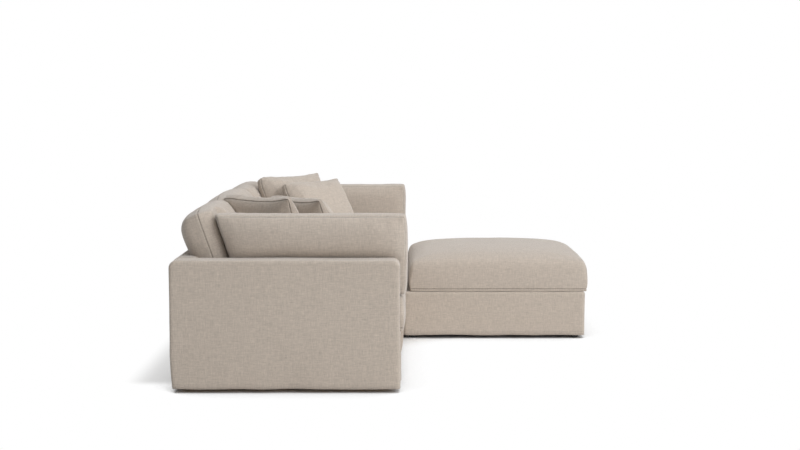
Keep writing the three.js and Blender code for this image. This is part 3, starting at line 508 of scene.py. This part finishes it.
def sewn_case(name, size, cells, seams, material):
    """A sewn case lying flat round the origin: a box of cloth with a grid of cells and a loop of
    faces to sink at the height of each seam. Returns the piece and what its shaping needs."""
    half = Vector(size) / 2
    bm = bmesh.new()
    bmesh.ops.create_cube(bm, size=1, matrix=Matrix.Diagonal((*size, 1)))
    for axis in range(3):
        along = [e for e in bm.edges if abs((e.verts[0].co - e.verts[1].co)[axis]) > 1e-6]
        bmesh.ops.subdivide_edges(bm, edges=along, cuts=cells[axis] - 1, use_grid_fill=True)
    for vert in bm.verts:
        for axis in (0, 1):
            share = vert.co[axis] / half[axis]
            vert.co[axis] = half[axis] * (0.5 * share + 0.5 * math.sin(math.pi / 2 * share))
    sunk = bm.verts.layers.int.new("sunk")
    for height in seams:
        if abs(height) < half.z - 1e-6:
            bmesh.ops.bisect_plane(bm, geom=bm.verts[:] + bm.edges[:] + bm.faces[:], dist=1e-5,
                                   plane_co=(0, 0, height), plane_no=(0, 0, 1))
        loop = [e for e in edges_where(bm, lambda co: near(co.z, height))
                if any(abs(f.normal.z) < 0.5 for f in e.link_faces)]
        loop = [e for e in loop if all(near(abs(v.co.x), half.x) or near(abs(v.co.y), half.y) for v in e.verts)]
        made = bmesh.ops.bevel(bm, geom=loop, offset=SEAM_GROOVE, segments=2, profile=0.5,
                               affect="EDGES", material=-1, clamp_overlap=True)
        corner = abs(abs(height) - half.z) < 1e-6
        for vert in made["verts"]:
            inwards = max(abs(vert.co.x) / half.x, abs(vert.co.y) / half.y)
            if corner and inwards < 1 - 1e-6 and abs(vert.co.z) < half.z - 1e-6:
                vert[sunk] = 1
            if not corner and near(vert.co.z, height):
                vert[sunk] = 1
    cloth = bm.loops.layers.uv.new("cloth")
    sewing = bm.loops.layers.uv.new("sewing")
    bm.normal_update()
    for face in bm.faces:
        facing = max(range(3), key=lambda axis: abs(face.normal[axis]))
        across, up = [(1, 2), (0, 2), (0, 1)][facing]
        shift = 0.37 * facing + (0.11 if face.normal[facing] > 0 else 0)
        for loop in face.loops:
            co = loop.vert.co
            loop[cloth].uv = (co[across] + shift, co[up] + shift)
            off = min(
                abs(co.z - height) if facing < 2 else
                abs(half.z * math.copysign(1, face.normal.z) - height)
                + min(half.x - abs(co.x), half.y - abs(co.y))
                for height in seams
            )
            nearer_x = half.x - abs(co.x) < half.y - abs(co.y)
            run = co.y if (facing == 2 and nearer_x) or facing == 0 else co.x
            loop[sewing].uv = (run, off)
    marks = np.array([vert[sunk] for vert in bm.verts], bool)
    piece = keep_in_scene(name, bm, material)
    flat = np.empty(len(piece.data.vertices) * 3, np.float32)
    piece.data.vertices.foreach_get("co", flat)
    return piece, {"flat": flat.reshape(-1, 3).astype(float), "half": np.array(half), "sunk": marks, "seams": seams}


def rise(place, low, high, power, edge_power):
    """The share of a crown's height at a place between two borders."""
    away = np.clip(np.abs((2 * place - low - high) / (high - low)), 0, 1)
    return (1 - away ** power) ** edge_power


def stuffed(case, bulge, crowns, waist=0.0, corner=(0.018, 8), other_corner=(0.018, 8),
            powers=(3, 0.5), window_x=None, window_y=None, full=3, ear=0.0):
    """Points of the stuffed case: crowned faces, a bulging edge, and sides that pull in between
    their corners. A window is where the upper crown is free."""
    flat, half = case["flat"], case["half"]
    x, y, z = flat.T
    u, v, w = x / half[0], y / half[1], np.clip(z / half[2], -1, 1)
    in_x = 1 - waist * (1 - v ** 2) - corner[0] * np.abs(v) ** corner[1]
    in_y = 1 - waist * (1 - u ** 2) - other_corner[0] * np.abs(u) ** other_corner[1]
    swell = bulge * (1 - np.abs(w) ** full)
    on_x, on_y = half[0] - np.abs(x) < 0.0015, half[1] - np.abs(y) < 0.0015
    points = np.stack([x * in_x + np.sign(x) * swell * on_x, y * in_y + np.sign(y) * swell * on_y, z], 1)
    window_x = window_x or (-half[0], half[0])
    window_y = window_y or (-half[1], half[1])
    crown = rise(x, *window_x, *powers) * rise(y, *window_y, *powers)
    points[:, 2] += np.where(w > 0.999, crowns[0] * crown, 0)
    under = rise(x, -half[0], half[0], *powers) * rise(y, -half[1], half[1], *powers)
    points[:, 2] -= np.where(w < -0.999, crowns[1] * under, 0)
    points[:, 2] *= 1 - ear * np.abs(u * v) ** 4
    return points


def seam_reach(case):
    """How far each point of the flat case is from its nearest seam, and where along it."""
    flat, half = case["flat"], case["half"]
    x, y, z = flat.T
    inwards = np.minimum(half[0] - np.abs(x), half[1] - np.abs(y))
    face = np.abs(z) > half[2] - 1e-6
    reach = np.min([
        np.where(face, np.abs(z - height) + inwards, np.abs(z - height)) for height in case["seams"]
    ], axis=0)
    run = np.where(half[0] - np.abs(x) < half[1] - np.abs(y), y + 5 * np.sign(x), x + 9 * np.sign(y))
    return reach, run


def move_to(piece, points):
    piece.data.vertices.foreach_set("co", points.astype(np.float32).ravel())
    piece.data.update()


def points_of(piece):
    points = np.empty(len(piece.data.vertices) * 3, np.float32)
    piece.data.vertices.foreach_get("co", points)
    return points.reshape(-1, 3).astype(float)


def normals_of(piece):
    normals = np.empty(len(piece.data.vertices) * 3, np.float32)
    piece.data.vertex_normals.foreach_get("vector", normals)
    return normals.reshape(-1, 3).astype(float)


def gathered(piece, case, depth, width, seed, lumps=0.002):
    """Small gathers that start at the seams and fade into the faces, and soft lumps all over."""
    reach, run = seam_reach(case)
    points, normals = points_of(piece), normals_of(piece)
    move = np.empty(len(points))
    for i, (point, off, along) in enumerate(zip(case["flat"], reach, run)):
        fade = math.exp(-off / width)
        fold = noise.noise(Vector((along * 46, off * 9, seed))) + 0.5 * noise.noise(Vector((along * 110, off * 20, seed + 7)))
        where = Vector(point) * 6 + Vector((seed, 2 * seed, 0))
        move[i] = depth * fade * fold + lumps * (noise.noise(where) + 0.4 * noise.noise(where * 2.3))
    points += normals * move[:, None]
    points -= normals * (SEAM_DEPTH * case["sunk"])[:, None]
    move_to(piece, points)


def eased(piece, chosen, rounds):
    """Rounds off the chosen part of a piece, as the wadding does under its case."""
    bm = bmesh.new()
    bm.from_mesh(piece.data)
    bm.verts.ensure_lookup_table()
    picked = [bm.verts[i] for i in np.nonzero(chosen)[0]]
    for _ in range(rounds):
        bmesh.ops.smooth_vert(bm, verts=picked, factor=0.5, use_axis_x=True, use_axis_y=True, use_axis_z=True)
    bm.to_mesh(piece.data)
    bm.free()
    piece.data.update()


def plump(pieces_and_cases, pressure, cap, shrink, foot=False, frames=20):
    """Blows the cases up as cloth whose seams are sewn shorter, so that it puckers at them, and
    lets no point move further than the cap. A foot is held where the case stands on it."""
    starts = []
    for piece, case in pieces_and_cases:
        starts.append(points_of(piece))
        reach, _ = seam_reach(case)
        sewn = piece.vertex_groups.new(name="sewn")
        held = piece.vertex_groups.new(name="held") if foot else None
        for i, off in enumerate(reach):
            sewn.add([i], math.exp(-off / 0.012), "REPLACE")
        if foot:
            flat, half = case["flat"], case["half"]
            held.add([int(i) for i in np.nonzero(flat[:, 2] < -half[2] + 1e-6)[0]], 1.0, "REPLACE")
        cloth = piece.modifiers.new("plumping", "CLOTH")
        cloth.settings.quality = 4
        cloth.settings.mass = 0.4
        cloth.settings.tension_stiffness = 20
        cloth.settings.compression_stiffness = 20
        cloth.settings.shear_stiffness = 8
        cloth.settings.bending_stiffness = 1.2
        cloth.settings.use_pressure = True
        cloth.settings.uniform_pressure_force = pressure
        cloth.settings.effector_weights.gravity = 0
        cloth.settings.vertex_group_shrink = "sewn"
        cloth.settings.shrink_min = 0
        cloth.settings.shrink_max = shrink
        if foot:
            cloth.settings.vertex_group_mass = "held"
        cloth.collision_settings.use_collision = False
        cloth.point_cache.frame_start = 1
        cloth.point_cache.frame_end = frames
    for step in range(1, frames + 1):
        scene.frame_set(step)
    depsgraph = bpy.context.evaluated_depsgraph_get()
    ends = [points_of(piece.evaluated_get(depsgraph)) for piece, _ in pieces_and_cases]
    scene.frame_set(1)
    for (piece, _), begin, end in zip(pieces_and_cases, starts, ends):
        piece.modifiers.remove(piece.modifiers["plumping"])
        piece.vertex_groups.clear()
        move = end - begin
        far = np.linalg.norm(move, axis=1, keepdims=True)
        move *= np.minimum(1, cap / np.maximum(far, 1e-9))
        move_to(piece, begin + move)


def surface_of(*pieces):
    """The outside of finished pieces, to press others against."""
    depsgraph = bpy.context.evaluated_depsgraph_get()
    points, faces = [], []
    for piece in pieces:
        mesh = piece.evaluated_get(depsgraph).to_mesh()
        first = len(points)
        points += [vert.co.copy() for vert in mesh.vertices]
        faces += [[first + i for i in face.vertices] for face in mesh.polygons]
    return BVHTree.FromPolygons(points, faces)


def pressed(piece, against, gap=0.0015, reach=0.12, rounds=3):
    """Pushes the points that lie inside a neighbour out to its surface, and eases the dents."""
    bm = bmesh.new()
    bm.from_mesh(piece.data)
    for turn in range(rounds):
        pushed = []
        for vert in bm.verts:
            for surface in against:
                spot, facing, _, off = surface.find_nearest(vert.co, reach)
                if spot is None:
                    continue
                depth = (vert.co - spot).dot(facing)
                if depth < 0 or off < gap:
                    vert.co = spot + facing * gap
                    pushed.append(vert)
        if turn < rounds - 1:
            around = {v for vert in pushed for e in vert.link_edges for v in e.verts}
            bmesh.ops.smooth_vert(bm, verts=list(around), factor=0.5, use_axis_x=True, use_axis_y=True, use_axis_z=True)
    bm.to_mesh(piece.data)
    bm.free()
    piece.data.update()


def settled(piece, body, node):
    """The last touches on a soft piece: one subdivision, and its place in the frame."""
    smooth = piece.modifiers.new("smooth", "SUBSURF")
    smooth.levels = smooth.render_levels = 1
    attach(piece, body)
    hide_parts(node)


SEAT_EDGE = 0.157
SEAT_CROWN = 0.070
SEAT_BULGE = 0.010
SEAT_SEAM = -SEAT_EDGE / 2 + 0.016

seat_cushions = {}
made = []
arm_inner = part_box("right_arm_slipcover")[0].x
back_reach = panel_front - 0.125 - 0.108
for unit, side in (("left", -1), ("middle", 0), ("right", 1)):
    low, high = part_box(f"{unit}_seat_cushion")
    size = (high.x - low.x - 2 * SEAT_BULGE, high.y - low.y - 2 * SEAT_BULGE, SEAT_EDGE)
    piece, case = sewn_case(f"{unit}_seat_pad", size, (56, 64, 8), [SEAT_SEAM], cushion_look)
    middle = Vector(((low.x + high.x) / 2, (low.y + high.y) / 2, low.z + SEAT_EDGE / 2))
    half_x = size[0] / 2
    covered = (high.x - low.x) / 2 - 0.19
    points = stuffed(
        case, SEAT_BULGE, (SEAT_CROWN, 0),
        window_x=(-covered if side < 0 else -half_x, covered if side > 0 else half_x),
        window_y=(-size[1] / 2, back_reach - middle.y),
    )
    move_to(piece, points)
    eased(piece, case["flat"][:, 2] > -0.01, 9)
    made.append((unit, piece, case, middle))
plump([(piece, case) for _, piece, case, _ in made], pressure=2.5, cap=0.005, shrink=0.06, foot=True)
for number, (unit, piece, case, middle) in enumerate(made):
    gathered(piece, case, 0.0018, 0.03, 3.1 * number + 1)
    points = points_of(piece)
    points[:, 2] = np.maximum(points[:, 2], -SEAT_EDGE / 2)
    low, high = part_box(f"{unit}_seat_cushion")
    points += np.array(middle)
    points[:, 0] = np.clip(points[:, 0], low.x, high.x)
    points[:, 1] = np.minimum(points[:, 1], high.y)
    move_to(piece, points)
    settled(piece, "sofa", f"{unit}_seat_cushion")
    seat_cushions[unit] = piece

# Back cushions. Three soft slabs that lean on the back panels and stand on the seats. Each case is
# two panels joined by one seam round the middle of its edge, drawn in at the corners.
BACK_LEAN = math.radians(19.3)
BACK_EDGE = 0.120
BACK_CROWN = 0.048
BACK_BULGE = 0.014
BACK_HEIGHT = 0.428
BACK_FOOT = 0.125
seat_edge_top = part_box("left_seat_cushion")[0].z + SEAT_EDGE


def stood_up(points, place, lean, turn):
    """The points of a flat form stood up at a place, leaning back and turned about the upright."""
    spin = np.array(Matrix.Rotation(turn, 3, "Z") @ Matrix.Rotation(math.pi / 2 - lean, 3, "X"))
    return points @ spin.T + np.array(place)


def rear_plane(height):
    """Where the rear of an arm cushion is at a height. It leans as the back cushions do."""
    return panel_front - 0.191 + math.tan(BACK_LEAN) * (height - seat_edge_top)


back_cushions = {}
made = []
for unit, side in (("left", -1), ("middle", 0), ("right", 1)):
    low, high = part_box(f"{unit}_back_cushion")
    size = (0.779 - 2 * BACK_BULGE, BACK_HEIGHT - 2 * BACK_BULGE, BACK_EDGE)
    piece, case = sewn_case(f"{unit}_back_pad", size, (56, 34, 8), [-0.005], cushion_look)
    points = stuffed(case, BACK_BULGE, (BACK_CROWN, BACK_CROWN + 0.006), other_corner=(0.115, 3), full=2)
    move_to(piece, points)
    eased(piece, seam_reach(case)[0] > 0.012, 8)
    made.append((unit, side, piece, case))
plump([(piece, case) for _, _, piece, case in made], pressure=3, cap=0.007, shrink=0.08)
panels = surface_of(*[bpy.data.objects[f"{unit}_cover"] for unit in ("left", "middle", "right")])
seats = surface_of(*seat_cushions.values())
for number, (unit, side, piece, case) in enumerate(made):
    gathered(piece, case, 0.003, 0.035, 5.3 * number + 2, lumps=0.003)
    y = panel_front - BACK_FOOT + BACK_HEIGHT / 2 * math.sin(BACK_LEAN)
    z = seat_edge_top + BACK_HEIGHT / 2 * math.cos(BACK_LEAN)
    higher = 0 if side else 0.006
    points = stood_up(points_of(piece), (side * 0.78, y + higher, z + higher), BACK_LEAN, 0)
    points[:, 0] = np.clip(points[:, 0], side * 0.78 - 0.3893, side * 0.78 + 0.3893)
    behind = np.clip(-case["flat"][:, 2] / (BACK_EDGE / 2) - 0.2, 0, 1)
    points[:, 1] += 0.018 * behind * np.exp(-((points[:, 2] - 0.71) / 0.12) ** 2)
    if side:
        beside = np.clip((side * points[:, 0] - (arm_inner - 0.21)) / 0.03, 0, 1)
        behind = np.maximum(points[:, 1], rear_plane(points[:, 2]) + 0.003)
        points[:, 1] += (behind - points[:, 1]) * beside
        outward = np.clip((side * points[:, 0] - 0.78) / 0.389, 0, 1) ** 2
        crease = np.exp(-np.maximum(points[:, 1] - rear_plane(points[:, 2]), 0) / 0.02)
        points[:, 0] -= side * outward * (0.030 + 0.022 * crease)
    move_to(piece, points)
    pressed(piece, [panels, seats])
    body = "middle_back_cushion" if unit == "middle" else "sofa"
    settled(piece, body, f"{unit}_back_cushion")
    back_cushions[unit] = piece

# Arm cushions. Long boxed slabs that stand on the seats against the arm panels. A seam runs round
# both faces of each.
ARM_HEIGHT = 0.380
ARM_LENGTH = 0.890
ARM_EDGE = 0.130
ARM_CROWN = 0.040
ARM_BULGE = 0.010
ARM_INNER = 0.190
ARM_REAR_TOP = panel_front - 0.060
panel_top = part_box("left_arm_slipcover")[1].z
front_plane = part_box("left_arm_slipcover")[0].y


def shortened(points):
    """Draws the rear of a slab in to a plane that leans as the back cushions do."""
    front, rear = points[:, 1].min(), points[:, 1].max()
    limit = np.minimum(ARM_REAR_TOP, rear_plane(points[:, 2]))
    share = (points[:, 1] - front) / (rear - front)
    points[:, 1] = front + (points[:, 1] - front) * (1 - share ** 2 * (rear - limit) / (rear - front))
    return points


arm_cushions = {}
made = []
for hand, side in (("left", -1), ("right", 1)):
    size = (ARM_LENGTH - 2 * ARM_BULGE, ARM_HEIGHT - 2 * ARM_BULGE, ARM_EDGE)
    piece, case = sewn_case(f"{hand}_arm_pad", size, (60, 30, 8), [ARM_EDGE / 2, -ARM_EDGE / 2], cushion_look)
    above_panel = (panel_top - seat_edge_top - ARM_HEIGHT / 2, size[1] / 2)
    crowns = (ARM_CROWN + 0.006, ARM_CROWN)
    move_to(piece, stuffed(case, ARM_BULGE, crowns, powers=(2.4, 0.5), window_y=above_panel))
    made.append((hand, side, piece, case))
plump([(piece, case) for _, _, piece, case in made], pressure=3, cap=0.005, shrink=0.06)
for number, (hand, side, piece, case) in enumerate(made):
    gathered(piece, case, 0.0018, 0.03, 4.7 * number + 3, lumps=0.0025)
    place = (
        side * (arm_inner - ARM_INNER + ARM_EDGE / 2 + ARM_CROWN),
        front_plane - 0.040 + ARM_LENGTH / 2,
        seat_edge_top + 0.0005 + ARM_HEIGHT / 2,
    )
    unit = "left" if side < 0 else "right"
    points = stood_up(points_of(piece), place, 0, side * math.pi / 2)
    move_to(piece, shortened(points))
    pressed(piece, [surface_of(bpy.data.objects[f"{hand}_arm_cover"]), surface_of(seat_cushions[unit])])
    settled(piece, f"{hand}_arm_cushion", f"{hand}_arm_cushion")
    arm_cushions[side] = piece

# Throw pillows. Four square feather pillows with narrow boxed edges, two at each end, leaning in
# the corners one before the other. Their front corners are free and pointed, the rear ones crushed.
PILLOW_SIZE = 0.480
PILLOW_EDGE = 0.052
PILLOW_CROWN = 0.050
PILLOW_BULGE = 0.010
pillow_look = linen("pillow_linen", (0.495, 0.430, 0.369))

made = []
for name, node, side, inward, forward, height, turn, lean, body in (
    ("left_corner_pillow", "pillow_left_corner", -1, 0.516, 0.284, 0.646, 51, 30, "sofa"),
    ("left_front_pillow", "pillow_left_front", -1, 0.618, 0.480, 0.636, 39, 32, "left_front_pillow"),
    ("right_corner_pillow", "pillow_right_corner", 1, 0.518, 0.326, 0.660, 47, 28, "sofa"),
    ("right_front_pillow", "pillow_right_front", 1, 0.622, 0.474, 0.641, 43, 32, "right_front_pillow"),
):
    edge = PILLOW_SIZE - 2 * PILLOW_BULGE
    piece, case = sewn_case(name, (edge, edge, PILLOW_EDGE), (48, 48, 4), [0.0175, -0.0175], pillow_look)
    free = side * case["flat"][:, 0] > 0
    corner = (np.where(free, -0.006, 0.07), np.where(free, 12, 6))
    points = stuffed(case, PILLOW_BULGE, (PILLOW_CROWN, PILLOW_CROWN), waist=0.038, corner=corner,
                     other_corner=corner, powers=(3.4, 0.6), full=2, ear=np.where(free, 0.4, 0))
    move_to(piece, points)
    eased(piece, seam_reach(case)[0] > 0.007, 5)
    made.append((piece, case, node, side, inward, forward, height, turn, lean, body))
plump([(piece, case) for piece, case, *_ in made], pressure=4, cap=0.012, shrink=0.06)
standing = []
for number, (piece, case, node, side, inward, forward, height, turn, lean, body) in enumerate(made):
    gathered(piece, case, 0.003, 0.04, 2.9 * number + 4, lumps=0.004)
    place = (side * (arm_inner - inward), panel_front - forward, height)
    points = stood_up(points_of(piece), place, math.radians(lean), -side * math.radians(turn))
    move_to(piece, points)
    unit = "left" if side < 0 else "right"
    around = [surface_of(back_cushions[unit], arm_cushions[side]),
              surface_of(seat_cushions[unit], seat_cushions["middle"])]
    around += [surface_of(other) for other, other_side in standing if other_side == side]
    pressed(piece, around)
    settled(piece, body, node)
    standing.append((piece, side))

# Ottoman cushion. A square slab like the seats, loose on the ottoman's own cover, with its seam
# just above the bottom edge.
low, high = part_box("ottoman_cushion")
size = (high.x - low.x - 2 * SEAT_BULGE, high.y - low.y - 2 * SEAT_BULGE, SEAT_EDGE)
piece, case = sewn_case("ottoman_pad", size, (66, 66, 8), [SEAT_SEAM], cushion_look)
move_to(piece, stuffed(case, SEAT_BULGE, (SEAT_CROWN - 0.005, 0)))
eased(piece, case["flat"][:, 2] > -0.01, 12)
plump([(piece, case)], pressure=2.5, cap=0.005, shrink=0.06, foot=True)
gathered(piece, case, 0.002, 0.03, 8.4)
points = points_of(piece)
points[:, 2] = np.maximum(points[:, 2], -SEAT_EDGE / 2)
move_to(piece, points + np.array(((low.x + high.x) / 2, (low.y + high.y) / 2, low.z + SEAT_EDGE / 2)))
settled(piece, "ottoman_cushion", "ottoman_cushion")
